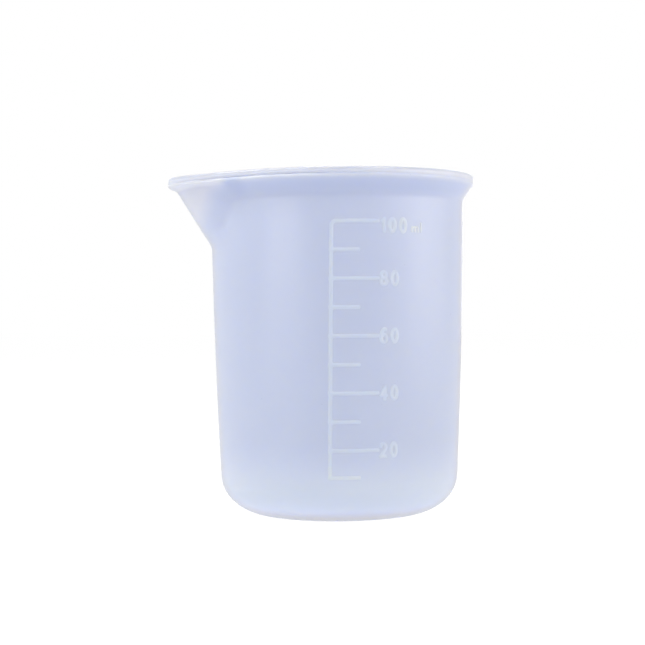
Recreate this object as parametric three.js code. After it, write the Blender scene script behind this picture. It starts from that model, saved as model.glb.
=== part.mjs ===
// A soft silicone measuring cup with a pouring spout, a thick rolled lip and a raised scale of lines.
// Millimetres, +Z up. The origin is on the table, under the axis of the round body.
// The spout points to -X and the scale faces -Y.

import * as THREE from 'three';
import { mergeVertices } from 'three/addons/utils/BufferGeometryUtils.js';

// Overall sizes: from the tip of the spout to the far side of the lip, and from the table to the lip.
const LENGTH = 64;
const HEIGHT = 70;

// Round body. The wall leans out towards the lip and bulges slightly on the way.
const WALL_TOP_RADIUS = 26.3;
const WALL_FOOT_RADIUS = 24.25;
const WALL_BULGE = 0.37;
const CORNER_RADIAL = 9.6;
const CORNER_HEIGHT = 7.9;
const BASE_THICKNESS = 2.6;
const WALL_THICKNESS_LOW = 1.5;
const WALL_THICKNESS_HIGH = 2.0;

// Lip: the wall flares out to an edge that lies just under the rounded top.
const LIP_OVERHANG = 2.27;
const LIP_THICKNESS = 2.8;
const LIP_EDGE_DROP = 1.0;
const LIP_INNER_ROUND = 0.8;
const FLARE_HEIGHT = 4.7;

// Spout: a slanted nose, round in front with straight flanks, and a bead under its edge. The front is
// blunt where it leaves the wall, and tighter towards the lip.
const SPOUT_RADIUS = 17.3;
const SPOUT_LIP_RADIUS = 15.4;
const SPOUT_LIP_REACH = 10.0;
const SPOUT_ROOT_RADIUS = 23.7;
const SPOUT_ROOT_REACH = 4.0;
const SPOUT_DEPTH = 14.4;
const SPOUT_BEAD = 0.95;
const SPOUT_BEAD_HEIGHT = 1.45;
const FLANK_TURN = THREE.MathUtils.degToRad(54.3);
const CREASE_WIDTH = 0.4;

// Scale: a spine with one line for each step of volume, every second line a long one.
const STEP_VOLUME = 10000;
const LINE_WIDTH = 0.85;
const LINE_RAISED = 0.35;
const LONG_LINE = 9.4;
const SHORT_LINE = 5.5;
const SPINE_ANGLE = THREE.MathUtils.degToRad(-3.6);
const SEAT_CLEARANCE = 0.2;

// Fineness of the facets.
const SIDES = 96;
const SIDE_CROWDING = 0.45;
const VOLUME_SIDES = 60;
const VOLUME_SLICE = 0.25;

// Places that follow from the sizes.
const neckHeight = HEIGHT - LIP_EDGE_DROP - FLARE_HEIGHT;
const lipEdgeHeight = HEIGHT - LIP_EDGE_DROP;
const lipRadius = WALL_TOP_RADIUS + LIP_OVERHANG;
const spoutRootHeight = HEIGHT - SPOUT_DEPTH;
const spoutTip = LENGTH - lipRadius;
const scaleRadius = (WALL_FOOT_RADIUS + WALL_TOP_RADIUS) / 2;

// The plain wall, without flare or spout. It stands upright above the neck.
function wallRadius(z) {
  const t = Math.min(z / neckHeight, 1);
  const lean = THREE.MathUtils.lerp(WALL_FOOT_RADIUS, WALL_TOP_RADIUS, t);
  return lean + WALL_BULGE * 4 * t * (1 - t);
}

function wallThickness(z) {
  return THREE.MathUtils.lerp(WALL_THICKNESS_LOW, WALL_THICKNESS_HIGH, z / neckHeight);
}

// The front line of the spout runs straight from its root on the wall to the bead at its tip.
const rootRadius = wallRadius(spoutRootHeight);
const spoutSlope = (spoutTip - SPOUT_BEAD - rootRadius) / (lipEdgeHeight - spoutRootHeight);
const spoutWall = WALL_THICKNESS_HIGH * Math.hypot(1, spoutSlope);

function spoutRadius(z) {
  const rooted = THREE.MathUtils.smoothstep(z, spoutRootHeight, spoutRootHeight + SPOUT_ROOT_REACH);
  const radius = THREE.MathUtils.lerp(SPOUT_ROOT_RADIUS, SPOUT_RADIUS, rooted);
  const tight = THREE.MathUtils.smoothstep(z, HEIGHT - SPOUT_LIP_REACH, HEIGHT);
  return THREE.MathUtils.lerp(radius, SPOUT_LIP_RADIUS, tight);
}

// Low down, the nose lies wholly inside the body.
function spoutCentre(z) {
  return Math.max(rootRadius + spoutSlope * (z - spoutRootHeight) - spoutRadius(z), 0);
}

// The bead swells bluntly up to the edge of the lip.
function spoutBead(z) {
  const below = THREE.MathUtils.clamp((lipEdgeHeight - z) / SPOUT_BEAD_HEIGHT, 0, 1);
  return SPOUT_BEAD * Math.sqrt(1 - below ** 4);
}

// How far out the nose lies, at an angle to either side of the spout: on its round front, or on a flank
// that runs straight on from there. Past the flank it falls back into the body.
function noseAt(side, centre, radius) {
  const front = Math.atan2(radius * Math.sin(FLANK_TURN), centre + radius * Math.cos(FLANK_TURN));
  if (side < front) {
    const across = centre * Math.sin(side);
    return centre * Math.cos(side) + Math.sqrt(radius * radius - across * across);
  }
  const flank = centre * Math.cos(FLANK_TURN) + radius;
  const past = Math.cos(side - FLANK_TURN);
  return side > FLANK_TURN ? flank * past : flank / past;
}

// The larger of two distances, with a slightly rounded crease where they meet.
function blend(a, b) {
  const near = Math.max(CREASE_WIDTH - Math.abs(a - b), 0) / CREASE_WIDTH;
  return Math.max(a, b) + (near * near * CREASE_WIDTH) / 4;
}

// Surfaces as a distance from the axis. The side is an angle from the spout, to either hand.
function outerRadius(side, z) {
  const flare = LIP_OVERHANG * THREE.MathUtils.smoothstep(z, neckHeight, lipEdgeHeight);
  const nose = noseAt(side, spoutCentre(z), spoutRadius(z)) + spoutBead(z);
  return blend(wallRadius(z) + flare, nose);
}

function innerRadius(side, z) {
  const reach = LIP_OVERHANG + WALL_THICKNESS_HIGH - LIP_THICKNESS;
  const flare = reach * THREE.MathUtils.smoothstep(z, neckHeight, HEIGHT);
  const channel = noseAt(side, spoutCentre(z), spoutRadius(z) - spoutWall);
  return blend(wallRadius(z) - wallThickness(z) + flare, channel);
}

// Evenly spaced values from one end to the other, without the first one.
function steps(from, to, count) {
  return Array.from({ length: count }, (_, i) => THREE.MathUtils.lerp(from, to, (i + 1) / count));
}

// A ring gives each angle a distance and a height.
function wallRings(radius, heights) {
  return heights.map((z) => (side) => [radius(side, z), z]);
}

// A quarter ellipse between the flat bottom, inside or outside, and the wall.
function cornerRings(radius, bottom, radial, height, count) {
  return [0, ...steps(0, Math.PI / 2, count)].map((turn) => (side) => {
    const z = bottom + height * (1 - Math.cos(turn));
    return [radius(side, z) - radial * (1 - Math.sin(turn)), z];
  });
}

// The top of the lip: rounded from its edge, flat for a bit, and rounded down to the inner wall.
function lipRings() {
  const outerShare = LIP_EDGE_DROP / LIP_THICKNESS;
  const innerShare = LIP_INNER_ROUND / LIP_THICKNESS;
  const across = (share, z) => (side) => {
    const edge = outerRadius(side, lipEdgeHeight);
    const mouth = innerRadius(side, HEIGHT - LIP_INNER_ROUND);
    return [THREE.MathUtils.lerp(edge, mouth, share), z];
  };
  const rise = steps(0, Math.PI / 2, 4).map((turn) =>
    across(outerShare * (1 - Math.cos(turn)), lipEdgeHeight + LIP_EDGE_DROP * Math.sin(turn)));
  const fall = [0, ...steps(0, Math.PI / 2, 3)].map((turn) =>
    across(1 - innerShare * (1 - Math.sin(turn)), HEIGHT - LIP_INNER_ROUND * (1 - Math.cos(turn))));
  return [...rise, ...fall];
}

// One closed skin: rings in order from the middle of the base, round the lip, to the middle of the floor.
function loft(rings, start, end) {
  const points = [0, 0, start];
  for (const ring of rings) {
    for (let i = 0; i < SIDES; i++) {
      const turn = (2 * Math.PI * i) / SIDES;
      const phi = turn - SIDE_CROWDING * Math.sin(turn);
      const [r, z] = ring(Math.min(phi, 2 * Math.PI - phi));
      points.push(-r * Math.cos(phi), -r * Math.sin(phi), z);
    }
  }
  points.push(0, 0, end);
  const at = (ring, i) => 1 + ring * SIDES + (i % SIDES);
  const last = rings.length - 1;
  const middle = 1 + rings.length * SIDES;
  const faces = [];
  for (let i = 0; i < SIDES; i++) {
    faces.push(0, at(0, i + 1), at(0, i));
    faces.push(at(last, i), at(last, i + 1), middle);
    for (let ring = 0; ring < last; ring++) {
      faces.push(at(ring, i), at(ring, i + 1), at(ring + 1, i + 1));
      faces.push(at(ring, i), at(ring + 1, i + 1), at(ring + 1, i));
    }
  }
  const geometry = new THREE.BufferGeometry();
  geometry.setAttribute('position', new THREE.Float32BufferAttribute(points, 3));
  geometry.setIndex(faces);
  return geometry;
}

function cupGeometry() {
  const spoutStart = spoutRootHeight - CREASE_WIDTH;
  const innerCorner = CORNER_HEIGHT - BASE_THICKNESS;
  const outside = [
    ...cornerRings(outerRadius, 0, CORNER_RADIAL, CORNER_HEIGHT, 7),
    ...wallRings(outerRadius, steps(CORNER_HEIGHT, spoutStart, 4)),
    ...wallRings(outerRadius, steps(spoutStart, neckHeight, 6)),
    ...wallRings(outerRadius, steps(neckHeight, lipEdgeHeight, 8)),
  ];
  const inside = [
    ...cornerRings(innerRadius, BASE_THICKNESS, CORNER_RADIAL - WALL_THICKNESS_LOW, innerCorner, 5),
    ...wallRings(innerRadius, steps(CORNER_HEIGHT, spoutStart, 3)),
    ...wallRings(innerRadius, steps(spoutStart, neckHeight, 5)),
    ...wallRings(innerRadius, steps(neckHeight, HEIGHT - LIP_INNER_ROUND, 4).slice(0, -1)),
  ];
  return loft([...outside, ...lipRings(), ...inside.reverse()], 0, BASE_THICKNESS);
}

// Area of a level section of the cavity, and from it the heights to which whole steps of volume reach.
function cavityArea(z) {
  const corner = (CORNER_HEIGHT - z) / (CORNER_HEIGHT - BASE_THICKNESS);
  const inset = corner > 0
    ? (CORNER_RADIAL - WALL_THICKNESS_LOW) * (1 - Math.sqrt(1 - corner * corner))
    : 0;
  let sum = 0;
  for (let i = 0; i < VOLUME_SIDES; i++) {
    const phi = (2 * Math.PI * i) / VOLUME_SIDES;
    sum += (innerRadius(Math.min(phi, 2 * Math.PI - phi), z) - inset) ** 2;
  }
  return (Math.PI * sum) / VOLUME_SIDES;
}

// The lines end below the flare of the lip.
function lineHeights() {
  const heights = [];
  let filled = 0;
  for (let z = BASE_THICKNESS; z < neckHeight - LINE_WIDTH; z += VOLUME_SLICE) {
    const slice = cavityArea(z + VOLUME_SLICE / 2) * VOLUME_SLICE;
    const wanted = (heights.length + 1) * STEP_VOLUME;
    if (filled + slice >= wanted) {
      heights.push(z + (VOLUME_SLICE * (wanted - filled)) / slice);
    }
    filled += slice;
  }
  return heights;
}

// A point of the scale: x runs round the wall from the middle of the spine, z is a height and out
// a distance from the wall.
function onWall(x, z, out) {
  const angle = SPINE_ANGLE + x / scaleRadius;
  const r = wallRadius(z) + SEAT_CLEARANCE + out;
  return new THREE.Vector3(r * Math.sin(angle), -r * Math.cos(angle), z);
}

// The scale is a comb of cells that follow the wall: the first column is the spine, and every even row
// holds a line that crosses as many columns as it is long.
function scaleGeometry() {
  const half = LINE_WIDTH / 2;
  const rows = lineHeights().flatMap((z) => [z - half, z + half]);
  const columns = [-half, half, ...steps(half, SHORT_LINE, 3), ...steps(SHORT_LINE, LONG_LINE, 2)];
  const isSolid = (column, row) => {
    if (column < 0 || row < 0 || column > columns.length - 2 || row > rows.length - 2) {
      return false;
    }
    const reach = (row / 2) % 2 ? LONG_LINE : SHORT_LINE;
    return column === 0 || (row % 2 === 0 && columns[column + 1] <= reach);
  };
  const points = [];
  const addQuad = (...corners) => {
    for (const i of [0, 1, 2, 0, 2, 3]) {
      points.push(corners[i]);
    }
  };
  for (let column = 0; column < columns.length - 1; column++) {
    for (let row = 0; row < rows.length - 1; row++) {
      if (!isSolid(column, row)) {
        continue;
      }
      const [left, right] = [columns[column], columns[column + 1]];
      const [low, high] = [rows[row], rows[row + 1]];
      const outline = [[left, low], [right, low], [right, high], [left, high]];
      const front = outline.map(([x, z]) => onWall(x, z, LINE_RAISED));
      const back = outline.map(([x, z]) => onWall(x, z, 0));
      const neighbours = [[column, row - 1], [column + 1, row], [column, row + 1], [column - 1, row]];
      addQuad(...front);
      addQuad(...back.toReversed());
      neighbours.forEach((neighbour, side) => {
        if (!isSolid(...neighbour)) {
          const next = (side + 1) % 4;
          addQuad(back[side], back[next], front[next], front[side]);
        }
      });
    }
  }
  return mergeVertices(new THREE.BufferGeometry().setFromPoints(points));
}

function part(name, geometry, colour, roughness) {
  const material = new THREE.MeshStandardMaterial({ color: colour, roughness, metalness: 0 });
  const mesh = new THREE.Mesh(geometry, material);
  mesh.name = name;
  return mesh;
}

const group = new THREE.Group();
group.add(part('cup_body', cupGeometry(), '#d3d9ec', 0.45));
group.add(part('graduation_scale', scaleGeometry(), '#e6eaf5', 0.5));

export default group;
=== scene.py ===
"""A small soft measuring cup of milky, faintly blue silicone, on a white sweep.

The cup is one polar surface: a radius worked out for each direction and height, once for the outside and
once for the inside. The scale and its numerals are low domed reliefs that lie on the wall.
Lengths are in metres. Directions are angles about the cup's axis, counted from the spout.
"""
import math

import bpy
import numpy as np
from mathutils import Matrix, Vector


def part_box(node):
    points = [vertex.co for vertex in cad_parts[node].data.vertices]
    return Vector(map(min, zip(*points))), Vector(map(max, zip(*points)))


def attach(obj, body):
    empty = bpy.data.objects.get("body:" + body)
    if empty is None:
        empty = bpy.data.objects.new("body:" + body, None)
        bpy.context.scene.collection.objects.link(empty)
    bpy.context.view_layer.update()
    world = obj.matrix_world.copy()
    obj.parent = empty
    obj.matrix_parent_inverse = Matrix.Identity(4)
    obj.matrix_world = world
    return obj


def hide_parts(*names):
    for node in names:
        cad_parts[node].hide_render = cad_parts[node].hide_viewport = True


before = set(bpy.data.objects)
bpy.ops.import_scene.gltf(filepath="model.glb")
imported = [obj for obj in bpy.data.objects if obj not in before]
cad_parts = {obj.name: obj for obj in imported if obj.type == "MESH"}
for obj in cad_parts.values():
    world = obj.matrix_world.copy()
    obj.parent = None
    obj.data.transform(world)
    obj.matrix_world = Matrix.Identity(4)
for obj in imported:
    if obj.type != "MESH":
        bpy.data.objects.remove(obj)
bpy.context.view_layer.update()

MM = 0.001

# The cup's sizes, as the solid has them
CUP_LOW, CUP_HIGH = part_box("cup_body")
HEIGHT = CUP_HIGH.z
SPOUT_TIP = -CUP_LOW.x
LIP_RADIUS = CUP_HIGH.x
WALL_TOP_RADIUS = 26.3 * MM
WALL_FOOT_RADIUS = 24.25 * MM
WALL_BULGE = 0.37 * MM
CORNER_RADIAL = 9.6 * MM
CORNER_HEIGHT = 7.9 * MM
BASE_THICKNESS = 2.6 * MM
WALL_THICKNESS_LOW = 1.5 * MM
WALL_THICKNESS_HIGH = 2.0 * MM
LIP_OVERHANG = LIP_RADIUS - WALL_TOP_RADIUS
LIP_THICKNESS = 2.8 * MM
LIP_EDGE_DROP = 1.0 * MM
LIP_INNER_ROUND = 0.8 * MM
FLARE_HEIGHT = 4.7 * MM
SPOUT_RADIUS = 17.3 * MM
SPOUT_LIP_RADIUS = 15.4 * MM
SPOUT_LIP_REACH = 10.0 * MM
SPOUT_ROOT_RADIUS = 23.7 * MM
SPOUT_ROOT_REACH = 4.0 * MM
SPOUT_DEPTH = 14.4 * MM
FLANK_TURN = math.radians(54.3)
SPOUT_BEAD = 0.95 * MM
CREASE_WIDTH = 0.4 * MM

# Details that only the visual model has. The pairs are angles off the spout, from and to, in radians
LIP_EDGE_ROUND = 0.55 * MM
LIP_SEAM_DROP = 1.28 * MM
LIP_SEAM_WIDTH = 0.04 * MM
LIP_RING_DROP = 1.75 * MM
LIP_RING_DEPTH = 0.75 * MM
LIP_RING_INSET = 0.5 * MM
LIP_RING_REACH = 0.36 * MM
LIP_RING_SHARE = 0.93
LIP_GROOVE = 0.47 * MM
LIP_BAND_INSET = 0.38 * MM
SEAM_FAINTEST = 0.15
SEAM_GROWS = (0.0, 0.6)
SEAM_FADES = (0.9, 2.5)
BEAD_HEIGHT = 1.45 * MM
BEAD_ROUND_POWER = 4
BEAD_CHAMFER_POWER = 1.2
BEAD_CHAMFER_FROM = (0.12, 0.4)
FLANK_CREASE_WIDTH = 0.5 * MM
FLANK_CREASE_FROM = (0.25, 0.6)
FLANK_FLARE = 0.9
FLANK_FLARE_FROM = (0.4, 0.65)

# The scale: one line for each 10 ml, placed as the photo has them
SCALE_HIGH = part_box("graduation_scale")[1]
LINE_COUNT = 10
LINE_VOLUME = 10
LINE_SPACING = 5.58 * MM
FIRST_LINE_SPACING = 5.3 * MM
TOP_LINE_DROP = 0.425 * MM
SPINE_LEAN = 0.0155
SPINE_PIVOT = 42.9 * MM
SPINE_ANGLE = math.radians(-3.6)
SPINE_CORNER = 0.9 * MM
LONG_LINE = 9.05 * MM
SHORT_LINE = 5.3 * MM
LINE_WIDTH = 0.78 * MM
LINE_RAISED = 0.13 * MM
LINE_FILLET = 0.35 * MM

# The numerals beside the long lines
NUMERAL_START = 9.3 * MM
NUMERAL_HEIGHT = 3.25 * MM
NUMERAL_WIDTH = 1.88 * MM
NUMERAL_GAP = 0.4 * MM
NUMERAL_STROKE = 0.72 * MM
NUMERAL_RAISED = 0.12 * MM
NUMERAL_FILLET = 0.1 * MM
ONE_NARROWER = 0.25
TOP_NUMERAL_DROP = 0.85 * MM
UNIT_START = 16.2 * MM
UNIT_HEIGHT = 2.1 * MM
UNIT_BODY = 0.66
UNIT_LEG_SPACING = 0.68 * MM
UNIT_STEM_SPACING = 0.75 * MM
UNIT_STROKE = 0.45 * MM
UNIT_DROP = 1.2 * MM

# How finely each surface is cut
SIDES = 320
SIDE_CROWDING = 0.45
CAP_ROWS = 6
OUTER_CORNER_RINGS = 20
OUTER_WALL_RINGS = 22
OUTER_SPOUT_RINGS = 48
INNER_CORNER_RINGS = 14
INNER_WALL_RINGS = 18
INNER_SPOUT_RINGS = 30
LIP_RINGS = 7
RELIEF_CELL = 0.085 * MM
SMALL_ARC_STEPS = 8

# How a relief bulges, and how deep its rim and its back lie in the wall
RELIEF_DOME_POWER = 2.6
RELIEF_SUNK = 0.1 * MM
RELIEF_BACK = 0.22 * MM

# Heights that follow from the sizes above
NECK_HEIGHT = HEIGHT - LIP_EDGE_DROP - FLARE_HEIGHT
LIP_EDGE_HEIGHT = HEIGHT - LIP_EDGE_DROP
LIP_SEAM_HEIGHT = HEIGHT - LIP_SEAM_DROP
LIP_RING_HEIGHT = HEIGHT - LIP_RING_DROP
SPOUT_ROOT_HEIGHT = HEIGHT - SPOUT_DEPTH
PLAIN_WALL_HEIGHT = SPOUT_ROOT_HEIGHT - 3 * MM
SCALE_RADIUS = (WALL_FOOT_RADIUS + WALL_TOP_RADIUS) / 2


def lerp(a, b, share):
    return a + (b - a) * share


def clamp(value, low, high):
    return min(max(value, low), high)


def smoothstep(value, low, high):
    t = clamp((value - low) / (high - low), 0.0, 1.0)
    return t * t * (3 - 2 * t)


def wall_radius(z):
    t = min(z / NECK_HEIGHT, 1.0)
    return lerp(WALL_FOOT_RADIUS, WALL_TOP_RADIUS, t) + WALL_BULGE * 4 * t * (1 - t)


def wall_thickness(z):
    return lerp(WALL_THICKNESS_LOW, WALL_THICKNESS_HIGH, z / NECK_HEIGHT)


ROOT_RADIUS = wall_radius(SPOUT_ROOT_HEIGHT)
SPOUT_SLOPE = (SPOUT_TIP - SPOUT_BEAD - ROOT_RADIUS) / (LIP_EDGE_HEIGHT - SPOUT_ROOT_HEIGHT)
SPOUT_WALL = WALL_THICKNESS_HIGH * math.hypot(1, SPOUT_SLOPE)


def spout_radius(z):
    """How round the front of the nose is: blunt at its root, and tighter towards the lip."""
    blunt = 1 - smoothstep(z, SPOUT_ROOT_HEIGHT, SPOUT_ROOT_HEIGHT + SPOUT_ROOT_REACH)
    radius = lerp(SPOUT_RADIUS, SPOUT_ROOT_RADIUS, blunt)
    return lerp(radius, SPOUT_LIP_RADIUS, smoothstep(z, HEIGHT - SPOUT_LIP_REACH, HEIGHT))


def spout_centre(z):
    """The nose of the spout is a circle whose front moves outwards as the height grows."""
    return max(ROOT_RADIUS + SPOUT_SLOPE * (z - SPOUT_ROOT_HEIGHT) - spout_radius(z), 0.0)


def spout_bead(phi, z):
    """The bead under the spout's lip: round at the tip, and more of a chamfer beside it."""
    below = clamp((LIP_EDGE_HEIGHT - z) / BEAD_HEIGHT, 0.0, 1.0)
    rounded = math.sqrt(1 - below ** BEAD_ROUND_POWER)
    chamfer = 1 - below ** BEAD_CHAMFER_POWER
    return SPOUT_BEAD * lerp(rounded, chamfer, smoothstep(off_spout(phi), *BEAD_CHAMFER_FROM))


def off_spout(phi):
    """The angle between a direction and the spout, to either side."""
    return math.acos(clamp(math.cos(phi), -1.0, 1.0))


def nose_at(side, centre, radius):
    """How far out the nose lies, at an angle off the spout: a circle in front, then straight flanks."""
    tangent = math.atan2(radius * math.sin(FLANK_TURN), centre + radius * math.cos(FLANK_TURN))
    if side < tangent:
        across = centre * math.sin(side)
        return centre * math.cos(side) + math.sqrt(radius * radius - across * across)
    flank = centre * math.cos(FLANK_TURN) + radius
    past = math.cos(side - FLANK_TURN)
    return flank * past if side > FLANK_TURN else flank / past


def blend(a, b, width):
    """The larger of two radii, with the crease between them rounded."""
    near = max(width - abs(a - b), 0.0) / width
    return max(a, b) + near * near * width / 4


def outer_radius(phi, z):
    side = off_spout(phi)
    flare = LIP_OVERHANG * smoothstep(z, NECK_HEIGHT, LIP_EDGE_HEIGHT)
    edge = lerp(spout_bead(phi, z), FLANK_FLARE * flare, smoothstep(side, *FLANK_FLARE_FROM))
    nose = nose_at(side, spout_centre(z), spout_radius(z)) + edge
    flank = smoothstep(side, *FLANK_CREASE_FROM)
    return blend(wall_radius(z) + flare, nose, lerp(CREASE_WIDTH, FLANK_CREASE_WIDTH, flank))


def inner_radius(phi, z):
    reach = LIP_OVERHANG + WALL_THICKNESS_HIGH - LIP_THICKNESS
    side = off_spout(phi)
    flare = reach * smoothstep(z, NECK_HEIGHT, HEIGHT)
    channel = nose_at(side, spout_centre(z), spout_radius(z) - SPOUT_WALL)
    channel += FLANK_FLARE * flare * smoothstep(side, *FLANK_FLARE_FROM)
    return blend(wall_radius(z) - wall_thickness(z) + flare, channel, CREASE_WIDTH)


def corner_rings(radius, bottom, radial, height, count):
    """The rounded corner between a flat disc and a wall, from the disc upwards."""
    def ring(turn):
        z = bottom + height * (1 - math.cos(turn))
        inset = radial * (1 - math.sin(turn))
        return lambda phi: (radius(phi, z) - inset, z)
    return [ring(math.pi / 2 * i / count) for i in range(count + 1)]


def wall_rings(radius, low, high, count):
    def ring(z):
        return lambda phi: (radius(phi, z), z)
    return [ring(lerp(low, high, i / count)) for i in range(1, count + 1)]


def lip_rings(count):
    """Over the lip, from its outer edge up, across and down into the mouth."""
    def across(share, z):
        def at(phi):
            edge = ringed_radius(phi, LIP_RING_HEIGHT) - LIP_BAND_INSET * seam_depth(phi)
            mouth = inner_radius(phi, HEIGHT - LIP_INNER_ROUND)
            return lerp(edge, mouth, share), z
        return at
    rings = []
    for i in range(count + 1):
        turn = math.pi / 2 * i / count
        share = LIP_EDGE_ROUND / LIP_THICKNESS * (1 - math.cos(turn))
        rings.append(across(share, HEIGHT - LIP_EDGE_ROUND * (1 - math.sin(turn))))
    for i in range(count + 1):
        turn = math.pi / 2 * i / count
        share = 1 - LIP_INNER_ROUND / LIP_THICKNESS * (1 - math.sin(turn))
        rings.append(across(share, HEIGHT - LIP_INNER_ROUND * (1 - math.cos(turn))))
    return rings


def ringed_radius(phi, z):
    """The outside, up to the height at which the rounded ring round the lip reaches farthest out."""
    below = clamp((LIP_RING_HEIGHT - z) / LIP_RING_DEPTH, 0.0, 1.0)
    reach = min(outer_radius(phi, LIP_EDGE_HEIGHT) - outer_radius(phi, LIP_RING_HEIGHT), LIP_RING_REACH)
    return outer_radius(phi, z) + LIP_RING_SHARE * reach * (1 - below * below)


def seam_depth(phi):
    """How clear the seam is: most beside the spout, and hardly at the tip and on the far side."""
    side = off_spout(phi)
    return max(smoothstep(side, *SEAM_GROWS) * (1 - smoothstep(side, *SEAM_FADES)), SEAM_FAINTEST)


def lip_edge_rings(count):
    """The upper half of that ring, and the fine groove above it, where the two halves of the mould met."""
    def inset(by, z):
        return lambda phi: (ringed_radius(phi, LIP_RING_HEIGHT) - by * seam_depth(phi), z)
    rings = []
    for i in range(1, count + 1):
        turn = math.pi / 2 * i / count
        rise = (LIP_SEAM_HEIGHT - LIP_RING_HEIGHT) * math.sin(turn)
        rings.append(inset(LIP_RING_INSET * (1 - math.cos(turn)), LIP_RING_HEIGHT + rise))
    rings.append(inset(LIP_GROOVE, LIP_SEAM_HEIGHT + LIP_SEAM_WIDTH / 2))
    rings.append(inset(LIP_BAND_INSET, LIP_SEAM_HEIGHT + LIP_SEAM_WIDTH))
    return rings


def cup_rings():
    """All rings of the cup, from the middle of its underside to the middle of its floor."""
    inner_radial = CORNER_RADIAL - WALL_THICKNESS_LOW
    inner_height = CORNER_HEIGHT - BASE_THICKNESS
    outside = corner_rings(outer_radius, 0.0, CORNER_RADIAL, CORNER_HEIGHT, OUTER_CORNER_RINGS)
    outside += wall_rings(outer_radius, CORNER_HEIGHT, PLAIN_WALL_HEIGHT, OUTER_WALL_RINGS)
    outside += wall_rings(ringed_radius, PLAIN_WALL_HEIGHT, LIP_RING_HEIGHT, OUTER_SPOUT_RINGS)
    outside += lip_edge_rings(LIP_RINGS)
    inside = corner_rings(inner_radius, BASE_THICKNESS, inner_radial, inner_height, INNER_CORNER_RINGS)
    inside += wall_rings(inner_radius, CORNER_HEIGHT, PLAIN_WALL_HEIGHT, INNER_WALL_RINGS)
    inside += wall_rings(inner_radius, PLAIN_WALL_HEIGHT, HEIGHT - LIP_INNER_ROUND, INNER_SPOUT_RINGS)
    return outside + lip_rings(LIP_RINGS) + inside[-2::-1]


def object_from(name, points, faces, material):
    """A smooth object of its own from points and faces."""
    mesh = bpy.data.meshes.new(name)
    mesh.from_pydata(points, [], faces)
    mesh.update()
    mesh.shade_smooth()
    mesh.materials.append(material)
    piece = bpy.data.objects.new(name, mesh)
    bpy.context.scene.collection.objects.link(piece)
    return piece


def make_cup(material):
    """Lofts the rings into one closed skin. The sides crowd towards the spout, where it bends most."""
    turns = [2 * math.pi * i / SIDES for i in range(SIDES)]
    directions = [turn - SIDE_CROWDING * math.sin(turn) for turn in turns]
    rings = cup_rings()
    points = []
    for ring in rings:
        for phi in directions:
            radius, z = ring(phi)
            points.append((-radius * math.cos(phi), -radius * math.sin(phi), z))
    faces = []
    for row in range(len(rings) - 1):
        for side in range(SIDES):
            after = (side + 1) % SIDES
            low = row * SIDES
            high = low + SIDES
            faces.append((low + side, low + after, high + after, high + side))
    last = (len(rings) - 1) * SIDES
    faces += disc(points, list(range(SIDES - 1, -1, -1)))
    faces += disc(points, list(range(last, last + SIDES)))
    return object_from("silicone_cup", points, faces, material)


def disc(points, rim):
    """Fills a flat round end with rings that shrink to its middle point."""
    count = len(rim)
    middle = np.mean([points[i] for i in rim], axis=0)
    faces = []
    outer = rim
    for row in range(1, CAP_ROWS):
        share = 1 - row / CAP_ROWS
        inner = []
        for i in rim:
            inner.append(len(points))
            points.append(tuple(lerp(middle, np.array(points[i]), share)))
        for i in range(count):
            after = (i + 1) % count
            faces.append((outer[i], outer[after], inner[after], inner[i]))
        outer = inner
    points.append(tuple(middle))
    tip = len(points) - 1
    faces += [(outer[i], outer[(i + 1) % count], tip) for i in range(count)]
    return faces


def line_heights():
    """The lines' heights, upwards: evenly spaced, but for a shorter step at the foot."""
    top = SCALE_HIGH.z - TOP_LINE_DROP
    even = [top - i * LINE_SPACING for i in range(LINE_COUNT - 1)]
    return [even[-1] - FIRST_LINE_SPACING] + even[::-1]


# Reliefs: closed low domes whose outline follows a set of strokes

def distance_to_path(x, z, path):
    """How far each point of a grid lies from a line through the path's points."""
    best = np.full(x.shape, 1.0)
    for (ax, az), (bx, bz) in zip(path, path[1:]):
        dx = bx - ax
        dz = bz - az
        t = np.clip(((x - ax) * dx + (z - az) * dz) / (dx * dx + dz * dz), 0.0, 1.0)
        best = np.minimum(best, np.hypot(x - ax - t * dx, z - az - t * dz))
    return best


def joined(a, b, fillet):
    """The nearer of two distances, with a fillet where two strokes meet."""
    near = np.maximum(fillet - np.abs(a - b), 0.0) / fillet
    return np.minimum(a, b) - near * near * fillet / 4


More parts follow.
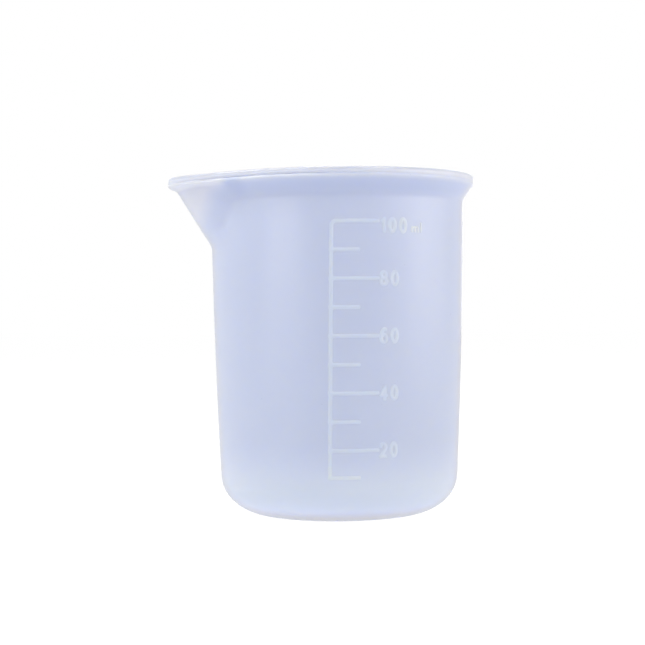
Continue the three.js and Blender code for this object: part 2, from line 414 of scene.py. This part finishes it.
def make_relief(name, paths, stroke, raised, fillet, material):
    """A closed low relief on the wall. Paths are in arc length from the spine and in height."""
    xs = [p[0] for path in paths for p in path]
    zs = [p[1] for path in paths for p in path]
    x_axis = np.arange(min(xs) - stroke, max(xs) + stroke, RELIEF_CELL)
    z_axis = np.arange(min(zs) - stroke, max(zs) + stroke, RELIEF_CELL)
    x, z = np.meshgrid(x_axis, z_axis)
    away = distance_to_path(x, z, paths[0])
    for path in paths[1:]:
        away = joined(away, distance_to_path(x, z, path), fillet)
    share = away / (stroke / 2)
    dome = raised * (1 - np.maximum(share, 0.0) ** RELIEF_DOME_POWER)
    proud = np.maximum(dome, -RELIEF_SUNK)
    kept = proud > -RELIEF_SUNK
    rows, columns = kept.shape
    made = {}
    points = []
    cells = []
    for r in range(rows - 1):
        for c in range(columns - 1):
            if kept[r:r + 2, c:c + 2].any():
                cells.append((r, c))

    def corner(r, c, back):
        key = (r, c, back)
        if key not in made:
            out = -RELIEF_BACK if back else proud[r, c]
            angle = SPINE_ANGLE + x[r, c] / SCALE_RADIUS
            radius = wall_radius(z[r, c]) + out
            made[key] = len(points)
            points.append((radius * math.sin(angle), -radius * math.cos(angle), z[r, c]))
        return made[key]

    faces = []
    chosen = set(cells)
    for r, c in cells:
        around = ((r, c), (r, c + 1), (r + 1, c + 1), (r + 1, c))
        faces.append(tuple(corner(i, j, False) for i, j in around))
        faces.append(tuple(corner(i, j, True) for i, j in reversed(around)))
        sides = (((r - 1, c), 0, 1), ((r, c + 1), 1, 2), ((r + 1, c), 2, 3), ((r, c - 1), 3, 0))
        for neighbour, first, second in sides:
            if neighbour not in chosen:
                a = around[first]
                b = around[second]
                faces.append((corner(*a, False), corner(*a, True), corner(*b, True), corner(*b, False)))
    relief = object_from(name, points, faces, material)
    # It is moulded in one with the wall, so it keeps no light from the silicone behind it
    relief.visible_shadow = False
    relief.visible_diffuse = False
    return relief


def arc(cx, cz, rx, rz, start, end, steps):
    """Points along a stretch of an ellipse. Angles are in degrees."""
    turns = [math.radians(lerp(start, end, i / steps)) for i in range(steps + 1)]
    return [(cx + rx * math.cos(t), cz + rz * math.sin(t)) for t in turns]


# Glyphs in a box 1 wide and 1 high, as strokes along the middle of the line
GLYPHS = {
    "0": [arc(0.5, 0.5, 0.5, 0.5, 0, 360, 36)],
    "1": [[(0.22, 0.78), (0.62, 1.0), (0.62, 0.0)]],
    "2": [arc(0.5, 0.72, 0.48, 0.28, 165, -38, 18) + [(0.0, 0.0), (1.0, 0.0)]],
    "4": [[(1.0, 0.3), (0.0, 0.3), (0.72, 1.0), (0.72, 0.0)]],
    "6": [arc(0.5, 0.29, 0.5, 0.29, 0, 360, 30), arc(0.62, 0.29, 0.62, 0.71, 75, 180, 18)],
    "8": [arc(0.5, 0.75, 0.43, 0.25, 0, 360, 30), arc(0.5, 0.26, 0.5, 0.26, 0, 360, 30)],
}


def glyph_paths(sign, left, low, width, height, stroke):
    """A glyph's strokes, set inside its box so that their full width fits."""
    room_x = width - stroke
    room_z = height - stroke
    start_x = left + stroke / 2
    start_z = low + stroke / 2
    return [[(start_x + u * room_x, start_z + v * room_z) for u, v in path] for path in GLYPHS[sign]]


def numeral_paths(text, middle):
    paths = []
    left = NUMERAL_START
    for sign in text:
        low = middle - NUMERAL_HEIGHT / 2
        paths += glyph_paths(sign, left, low, NUMERAL_WIDTH, NUMERAL_HEIGHT, NUMERAL_STROKE)
        narrow = ONE_NARROWER * NUMERAL_WIDTH if sign == "1" else 0.0
        left += NUMERAL_WIDTH + NUMERAL_GAP - narrow
    return paths


def unit_paths(low):
    """The small letters m and l."""
    half = UNIT_STROKE / 2
    body = UNIT_BODY * UNIT_HEIGHT
    legs = [UNIT_START + half + i * UNIT_LEG_SPACING for i in range(3)]
    top = low + body - half
    paths = [[(legs[0], low + half), (legs[0], top)]]
    for left, right in zip(legs, legs[1:]):
        bend = (right - left) / 2
        hump = arc(left + bend, top - bend, bend, bend, 180, 0, SMALL_ARC_STEPS)
        paths.append(hump + [(right, low + half)])
    stem = legs[2] + UNIT_STEM_SPACING
    paths.append([(stem, low + half), (stem, low + UNIT_HEIGHT - half)])
    return paths


def spine_at(z):
    """The spine leans a little, so that it stands upright in the photo."""
    return SPINE_LEAN * (z - SPINE_PIVOT)


def scale_paths(heights):
    """The spine, bent round its top corner into the last line, and the other lines."""
    top = heights[-1]
    left = spine_at(top) + SPINE_CORNER
    corner = arc(left, top - SPINE_CORNER, SPINE_CORNER, SPINE_CORNER, 180, 90, SMALL_ARC_STEPS)
    paths = [[(spine_at(heights[0]), heights[0])] + corner + [(LONG_LINE, top)]]
    for i, z in enumerate(heights[:-1]):
        paths.append([(spine_at(z), z), (LONG_LINE if i % 2 else SHORT_LINE, z)])
    return paths


# Materials

# What tells the wall's silicone from that of the raised marks
BODY_LOOK = {
    "colour": (0.60, 0.66, 0.84),
    "cloud": (0.62, 0.68, 0.86),
    # Painted light from below: the foot colour makes the silicone paler towards the bottom
    "foot": (0.70, 0.76, 0.985),
    "right": None,
    "depth": 2 * MM,
    "roughness": 0.3,
}
MARKS_LOOK = {
    "colour": (0.685, 0.758, 0.97),
    "cloud": (0.695, 0.768, 0.975),
    # Painted light from below: the foot colour makes the marks paler towards the bottom
    "foot": (0.775, 0.835, 1.0),
    # Painted light: the marks turn paler to the right, where the wall is lit more
    "right": (0.80, 0.85, 1.0),
    "depth": 0.1 * MM,
    "roughness": 0.7,
}
SILICONE_IOR = 1.41
SPREAD = (1.0, 1.1, 1.3)
CLOUD_SCALE = 70
CLOUD_DETAIL = 3
GRAIN_SCALE = 900
GRAIN_DETAIL = 4
GRAIN_HEIGHT = 0.05 * MM
GRAIN_STRENGTH = 0.2
ROUGHNESS_SWING = 0.05

# The tints of the silicone are painted light and shade: the paler foot, rim, ring, band and the marks'
# right side are painted light, and the darker flare, pocket, brim, sole and edge are painted shade. Each
# ramp says
# where it sets in and where it is full: in height for most of them, to the right for the marks, out from
# the axis for the rim, towards a point for the pocket, and in how far the skin is turned away for the edge
# Painted light: the foot ramp pales the lowest part of the cup, for the light from the floor
FOOT_PAINTED_LIGHT_RAMP = (17 * MM, 6 * MM)
# Painted light on the marks' right side, where the numerals stand
RIGHT_PAINTED_LIGHT_RAMP = (9.5 * MM, 15 * MM)
# Painted shade under the lip: the flare's underside is darker
FLARE_PAINTED_SHADE = (0.572, 0.642, 0.84)
FLARE_PAINTED_SHADE_RAMP = (64.3 * MM, 66.3 * MM)
# Painted highlight, slight: the ring under the seam is a little paler, and the flare's painted shade ends
# there
RING_PAINTED_HIGHLIGHT = (0.615, 0.675, 0.845)
RING_HIGHLIGHT_RAMP = (67.4 * MM, 68.3 * MM)
# Painted light: the lip's outer edge and the spout are paler
RIM_PAINTED_LIGHT = (0.725, 0.75, 0.86)
RIM_LIGHT_RAMP = (27.5 * MM, 30 * MM)
# Painted shade in the two corners where the spout's flanks meet the lip
POCKET_PAINTED_SHADE = (0.53, 0.60, 0.805)
POCKET = (-20.6 * MM, 19.4 * MM, 67.2 * MM)
POCKET_SHADE_RAMP = (4.0 * MM, 0.8 * MM)
# Painted light: the band above the seam is paler
BAND_PAINTED_LIGHT = (0.735, 0.76, 0.865)
BAND_LIGHT_RAMP = (68.72 * MM, 68.8 * MM)
# Painted shade: the top of the lip and the mouth's edge are darker and greyer
BRIM_PAINTED_SHADE = (0.60, 0.63, 0.74)
BRIM_SHADE_RAMP = (69.25 * MM, 69.65 * MM)
# Painted shade where the cup stands: its lowest few millimetres are darker and greyer
SOLE_PAINTED_SHADE = (0.61, 0.605, 0.63)
SOLE_SHADE_RAMP = (3.2 * MM, 0.3 * MM)
# Painted shade: the colour turns darker and greyer where the skin turns away from the view
EDGE_PAINTED_SHADE = (0.60, 0.63, 0.73)
EDGE_RAMP = (0.66, 0.94)

# Where the skin mirrors less, and how much of the full level is left there
MATT_RAMP = (3 * MM, 9 * MM)
MATT_LEVEL = 0.2
EDGE_LEVEL = 0.3


def new_material(name):
    material = bpy.data.materials.new(name)
    material.use_nodes = True
    return material, material.node_tree.nodes, material.node_tree.links


def distance_from_axis(nodes, links, place):
    """How far a point lies from the upright axis."""
    flat = nodes.new("ShaderNodeVectorMath")
    flat.operation = "MULTIPLY"
    flat.inputs[1].default_value = (1, 1, 0)
    links.new(place, flat.inputs[0])
    length = nodes.new("ShaderNodeVectorMath")
    length.operation = "LENGTH"
    links.new(flat.outputs["Vector"], length.inputs[0])
    return length.outputs["Value"]


# The pocket's painted shade is darkest at these corners
def distance_from_pocket(nodes, links, place):
    """How far a point lies from the nearer of the two corners where the spout's flanks meet the lip."""
    mirrored = nodes.new("ShaderNodeVectorMath")
    mirrored.operation = "ABSOLUTE"
    links.new(place, mirrored.inputs[0])
    left_only = nodes.new("ShaderNodeVectorMath")
    left_only.operation = "MULTIPLY_ADD"
    left_only.inputs[1].default_value = (0, 1, 1)
    links.new(mirrored.outputs["Vector"], left_only.inputs[0])
    along = nodes.new("ShaderNodeVectorMath")
    along.operation = "MULTIPLY"
    along.inputs[1].default_value = (1, 0, 0)
    links.new(place, along.inputs[0])
    links.new(along.outputs["Vector"], left_only.inputs[2])
    gap = nodes.new("ShaderNodeVectorMath")
    gap.operation = "DISTANCE"
    gap.inputs[1].default_value = POCKET
    links.new(left_only.outputs["Vector"], gap.inputs[0])
    return gap.outputs["Value"]


def soft_ramp(nodes, links, value, across, results):
    """Goes from the first result to the second one as the value goes across."""
    ramp = nodes.new("ShaderNodeMapRange")
    ramp.interpolation_type = "SMOOTHSTEP"
    ramp.inputs["From Min"].default_value = across[0]
    ramp.inputs["From Max"].default_value = across[1]
    ramp.inputs["To Min"].default_value = results[0]
    ramp.inputs["To Max"].default_value = results[1]
    links.new(value, ramp.inputs["Value"])
    return ramp.outputs["Result"]


def turned_to(nodes, links, colour, other, value, ramp):
    """The colour, going over to the other one along the ramp."""
    mix = nodes.new("ShaderNodeMix")
    mix.data_type = "RGBA"
    mix.inputs["B"].default_value = (*other, 1)
    links.new(soft_ramp(nodes, links, value, ramp, (0.0, 1.0)), mix.inputs["Factor"])
    links.new(colour, mix.inputs["A"])
    return mix.outputs["Result"]


def noise(nodes, links, place, scale, detail):
    texture = nodes.new("ShaderNodeTexNoise")
    texture.inputs["Scale"].default_value = scale
    texture.inputs["Detail"].default_value = detail
    links.new(place, texture.inputs["Vector"])
    return texture.outputs["Fac"]


def silicone(name, colour, cloud, foot, right, depth, roughness):
    """Milky moulded silicone: light spreads in it, and its skin is satin with a fine grain."""
    material, nodes, links = new_material(name)
    shader = nodes["Principled BSDF"]
    shader.inputs["IOR"].default_value = SILICONE_IOR
    shader.inputs["Subsurface Weight"].default_value = 1.0
    shader.inputs["Subsurface Radius"].default_value = SPREAD
    shader.inputs["Subsurface Scale"].default_value = depth
    place = nodes.new("ShaderNodeTexCoord").outputs["Object"]
    split = nodes.new("ShaderNodeSeparateXYZ")
    links.new(place, split.inputs["Vector"])
    height = split.outputs["Z"]
    facing = nodes.new("ShaderNodeLayerWeight").outputs["Facing"]

    clouded = nodes.new("ShaderNodeMix")
    clouded.data_type = "RGBA"
    clouded.inputs["A"].default_value = (*colour, 1)
    clouded.inputs["B"].default_value = (*cloud, 1)
    links.new(noise(nodes, links, place, CLOUD_SCALE, CLOUD_DETAIL), clouded.inputs["Factor"])
    # Painted light and shade: the tints below make the colour paler where light falls and darker where
    # shade falls
    tints = [(foot, height, FOOT_PAINTED_LIGHT_RAMP)]
    if right:
        tints.append((right, split.outputs["X"], RIGHT_PAINTED_LIGHT_RAMP))
    tints += [
        (FLARE_PAINTED_SHADE, height, FLARE_PAINTED_SHADE_RAMP),
        (RING_PAINTED_HIGHLIGHT, height, RING_HIGHLIGHT_RAMP),
        (RIM_PAINTED_LIGHT, distance_from_axis(nodes, links, place), RIM_LIGHT_RAMP),
        (POCKET_PAINTED_SHADE, distance_from_pocket(nodes, links, place), POCKET_SHADE_RAMP),
        (BAND_PAINTED_LIGHT, height, BAND_LIGHT_RAMP),
        (BRIM_PAINTED_SHADE, height, BRIM_SHADE_RAMP),
        (SOLE_PAINTED_SHADE, height, SOLE_SHADE_RAMP),
        (EDGE_PAINTED_SHADE, facing, EDGE_RAMP),
    ]
    tinted = clouded.outputs["Result"]
    for other, value, ramp in tints:
        tinted = turned_to(nodes, links, tinted, other, value, ramp)
    links.new(tinted, shader.inputs["Base Color"])

    level = nodes.new("ShaderNodeMath")
    level.operation = "MULTIPLY"
    links.new(soft_ramp(nodes, links, height, MATT_RAMP, (MATT_LEVEL, 1.0)), level.inputs[0])
    links.new(soft_ramp(nodes, links, facing, EDGE_RAMP, (1.0, EDGE_LEVEL)), level.inputs[1])
    links.new(level.outputs["Value"], shader.inputs["Specular IOR Level"])

    grain = noise(nodes, links, place, GRAIN_SCALE, GRAIN_DETAIL)
    gloss = nodes.new("ShaderNodeMapRange")
    gloss.inputs["To Min"].default_value = roughness - ROUGHNESS_SWING
    gloss.inputs["To Max"].default_value = roughness + ROUGHNESS_SWING
    links.new(grain, gloss.inputs["Value"])
    links.new(gloss.outputs["Result"], shader.inputs["Roughness"])
    bump = nodes.new("ShaderNodeBump")
    bump.inputs["Strength"].default_value = GRAIN_STRENGTH
    bump.inputs["Distance"].default_value = GRAIN_HEIGHT
    links.new(grain, bump.inputs["Height"])
    links.new(bump.outputs["Normal"], shader.inputs["Normal"])
    return material


# Floor, light and camera

# The floor is part plain white and part glow. It glows more near the cup, and most where it is seen
WHITE = (1, 1, 1, 1)
FLOOR_WHITE = 0.85
FLOOR_ROUGHNESS = 0.9
FLOOR_STRENGTH = 1.13
FLOOR_SEEN = 0.88
FLOOR_GLOW = (0.6, 0.52)
FLOOR_GLOW_RAMP = (35 * MM, 75 * MM)
FLOOR_SIZE = 6.0
FLOOR_DROP = 0.1 * MM
ROOM_STRENGTH = 0.03

LOW_BOX = (0.26, 0.35)
HIGH_BOX = (0.2, 0.2)
NARROW_BOX = (0.12, 0.35)
LEFT_LIGHT = (1.0, 0.98, 0.96)
RIGHT_LIGHT = (1.0, 0.965, 0.93)
FAR_RIGHT_LIGHT = (1.0, 0.955, 0.88)
LAMPS = (
    ("left_high_box", (-0.283, -0.283, 0.5), HIGH_BOX, 0.73, LEFT_LIGHT),
    ("left_side_box", (-0.4, 0.0, 0.5), HIGH_BOX, 1.23, LEFT_LIGHT),
    ("right_high_box", (0.283, -0.283, 0.5), HIGH_BOX, 0.97, RIGHT_LIGHT),
    ("front_high_box", (0.0, -0.4, 0.5), HIGH_BOX, 0.19, LEFT_LIGHT),
    ("left_near_box", (-0.4915, -0.344, 0.15), LOW_BOX, 0.44, LEFT_LIGHT),
    ("left_narrow_box", (-0.36, -0.48, 0.15), NARROW_BOX, 0.21, LEFT_LIGHT),
    ("right_near_box", (0.473, -0.369, 0.15), LOW_BOX, 0.27, RIGHT_LIGHT),
    ("right_far_box", (0.582, -0.145, 0.15), LOW_BOX, 0.585, FAR_RIGHT_LIGHT),
    ("back_high_box", (0.0, 0.25, 0.65), HIGH_BOX, 1.04, LEFT_LIGHT),
    ("back_low_box", (0.1, 0.58, 0.2), LOW_BOX, 0.365, LEFT_LIGHT),
    ("right_side_box", (0.594, 0.0835, 0.15), LOW_BOX, 0.34, FAR_RIGHT_LIGHT),
)


def seen_or_mirrored(nodes, links):
    """1 where the camera looks, straight on, in a mirror or through glass, and 0 for plain light."""
    path = nodes.new("ShaderNodeLightPath")
    value = path.outputs["Is Camera Ray"]
    for kind in ("Is Glossy Ray", "Is Transmission Ray"):
        either = nodes.new("ShaderNodeMath")
        either.operation = "MAXIMUM"
        links.new(value, either.inputs[0])
        links.new(path.outputs[kind], either.inputs[1])
        value = either.outputs["Value"]
    return value


def white_where_seen(name):
    """A matt white light table: it glows a little, looks pure white, and keeps some of its shadow."""
    material, nodes, links = new_material(name)
    shader = nodes["Principled BSDF"]
    shader.inputs["Base Color"].default_value = (FLOOR_WHITE, FLOOR_WHITE, FLOOR_WHITE, 1)
    shader.inputs["Roughness"].default_value = FLOOR_ROUGHNESS
    shader.inputs["Specular IOR Level"].default_value = 0.0
    glow = nodes.new("ShaderNodeEmission")
    glow.inputs["Color"].default_value = WHITE
    glow.inputs["Strength"].default_value = FLOOR_STRENGTH
    place = nodes.new("ShaderNodeTexCoord").outputs["Object"]
    out = distance_from_axis(nodes, links, place)
    share = nodes.new("ShaderNodeMapRange")
    share.inputs["To Max"].default_value = FLOOR_SEEN
    links.new(soft_ramp(nodes, links, out, FLOOR_GLOW_RAMP, FLOOR_GLOW), share.inputs["To Min"])
    links.new(seen_or_mirrored(nodes, links), share.inputs["Value"])
    mix = nodes.new("ShaderNodeMixShader")
    links.new(share.outputs["Result"], mix.inputs["Fac"])
    links.new(shader.outputs["BSDF"], mix.inputs[1])
    links.new(glow.outputs["Emission"], mix.inputs[2])
    links.new(mix.outputs["Shader"], nodes["Material Output"].inputs["Surface"])
    return material


def make_floor():
    half = FLOOR_SIZE / 2
    corners = [(-half, -half), (half, -half), (half, half), (-half, half)]
    points = [(x, y, -FLOOR_DROP) for x, y in corners]
    object_from("floor", points, [(0, 1, 2, 3)], white_where_seen("white_sweep"))


def make_world():
    """White where it is seen or mirrored, and a faint room light for everything else."""
    world = bpy.data.worlds.new("studio")
    bpy.context.scene.world = world
    world.use_nodes = True
    nodes = world.node_tree.nodes
    links = world.node_tree.links
    room = nodes["Background"]
    room.inputs["Color"].default_value = WHITE
    # The ramp has like ends, so its value is the same all round. It stays because the render comes out
    # slightly different with a plain value in its place
    split = nodes.new("ShaderNodeSeparateXYZ")
    links.new(nodes.new("ShaderNodeTexCoord").outputs["Generated"], split.inputs["Vector"])
    strength = soft_ramp(nodes, links, split.outputs["Y"], (-1.0, 0.0), (ROOM_STRENGTH, ROOM_STRENGTH))
    links.new(strength, room.inputs["Strength"])
    white = nodes.new("ShaderNodeBackground")
    white.inputs["Color"].default_value = WHITE
    white.inputs["Strength"].default_value = 1.0
    mix = nodes.new("ShaderNodeMixShader")
    links.new(seen_or_mirrored(nodes, links), mix.inputs["Fac"])
    links.new(room.outputs["Background"], mix.inputs[1])
    links.new(white.outputs["Background"], mix.inputs[2])
    links.new(mix.outputs["Shader"], nodes["World Output"].inputs["Surface"])


def area_lamp(name, place, size, power, colour):
    """A soft box that faces the middle of the cup."""
    data = bpy.data.lights.new(name, "AREA")
    data.shape = "RECTANGLE"
    data.size = size[0]
    data.size_y = size[1]
    data.energy = power
    data.color = colour
    lamp = bpy.data.objects.new(name, data)
    lamp.location = place
    aim = Vector((0, 0, HEIGHT / 2)) - Vector(place)
    lamp.rotation_euler = aim.to_track_quat("-Z", "Y").to_euler()
    bpy.context.scene.collection.objects.link(lamp)


# The view: the photograph is 645 pixels wide and high
IMAGE_SIZE = 645
FOCAL_PIXELS = 1589.9
SENSOR = 36.0
CLIP = (0.01, 20)
CAMERA_PLACE = Vector((-3.2376, -333.476, 41.537)) * MM
CAMERA_PITCH = 0.0053
CAMERA_ROLL = 0.00915


def make_camera():
    data = bpy.data.cameras.new("camera")
    data.sensor_fit = "HORIZONTAL"
    data.sensor_width = SENSOR
    data.lens = FOCAL_PIXELS * SENSOR / IMAGE_SIZE
    data.clip_start, data.clip_end = CLIP
    camera = bpy.data.objects.new("camera", data)
    turned = Matrix.Rotation(math.pi / 2 - CAMERA_PITCH, 4, "X") @ Matrix.Rotation(-CAMERA_ROLL, 4, "Z")
    camera.matrix_world = Matrix.Translation(CAMERA_PLACE) @ turned
    bpy.context.scene.collection.objects.link(camera)
    bpy.context.scene.camera = camera


def dress(piece, node):
    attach(piece, "root")
    if node:
        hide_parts(node)


def main():
    make_camera()
    make_world()
    for lamp in LAMPS:
        area_lamp(*lamp)
    make_floor()
    body = silicone("milky_silicone", **BODY_LOOK)
    marks = silicone("raised_silicone", **MARKS_LOOK)
    dress(make_cup(body), "cup_body")
    heights = line_heights()
    scale = make_relief("raised_scale", scale_paths(heights), LINE_WIDTH, LINE_RAISED, LINE_FILLET, marks)
    dress(scale, "graduation_scale")
    words = []
    for i in range(1, LINE_COUNT, 2):
        text = str(LINE_VOLUME * (i + 1))
        middle = heights[i] - (TOP_NUMERAL_DROP if i == LINE_COUNT - 1 else 0.0)
        words.append(("numeral_" + text, numeral_paths(text, middle), NUMERAL_STROKE))
    words.append(("unit_letters", unit_paths(heights[-1] - UNIT_DROP - UNIT_HEIGHT / 2), UNIT_STROKE))
    for name, paths, stroke in words:
        word = make_relief(name, paths, stroke, NUMERAL_RAISED, NUMERAL_FILLET, marks)
        dress(word, None)
    bpy.context.scene.view_settings.view_transform = "Standard"


main()
